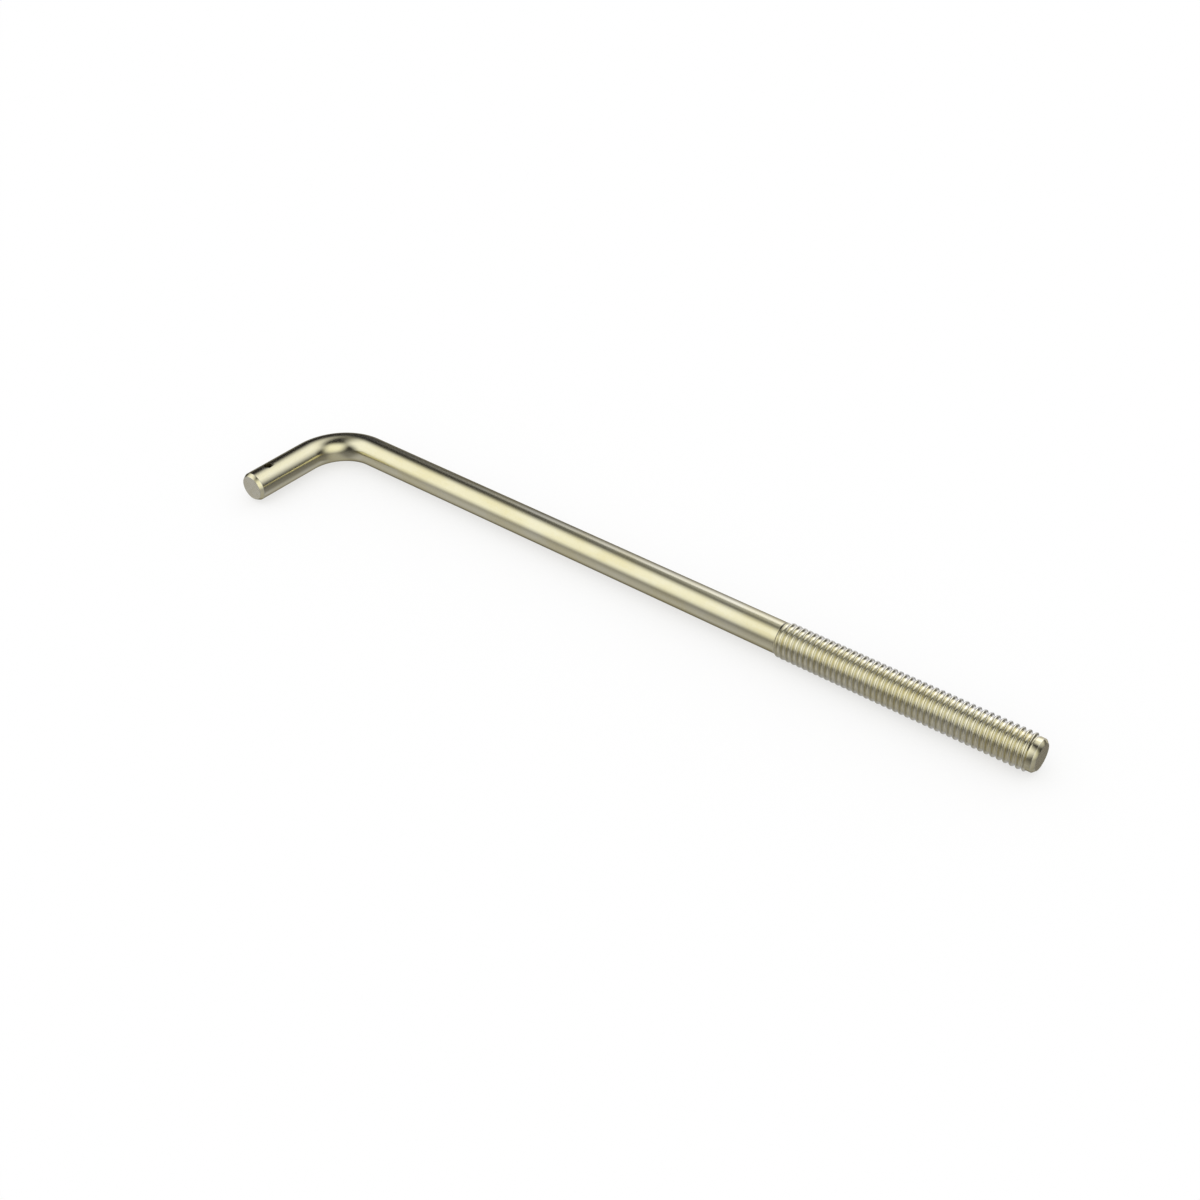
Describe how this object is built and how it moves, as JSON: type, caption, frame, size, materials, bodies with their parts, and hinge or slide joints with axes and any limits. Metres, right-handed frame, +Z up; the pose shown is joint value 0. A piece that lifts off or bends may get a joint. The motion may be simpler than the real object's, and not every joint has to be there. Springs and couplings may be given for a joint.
{
  "type": "hook bolt",
  "caption": "Round rod bent square into a short leg with a cross hole near its end; the long leg ends in a coarse rolled thread with a plain chamfered tip.",
  "frame": {"origin": "bottom centre of the bolt's box, on the floor that it lies on", "axes": "+X along the long leg towards the threaded tip, -Y along the short leg away from the bend, +Z up and square to both legs"},
  "size_m": [0.2328, 0.04, 0.0095],
  "materials": {
    "yellow_zinc_plate": "steel rod with pale yellow zinc plating, satin"
  },
  "bodies": {
    "root": {"hook_bolt": "yellow_zinc_plate"}
  },
  "joints": []
}
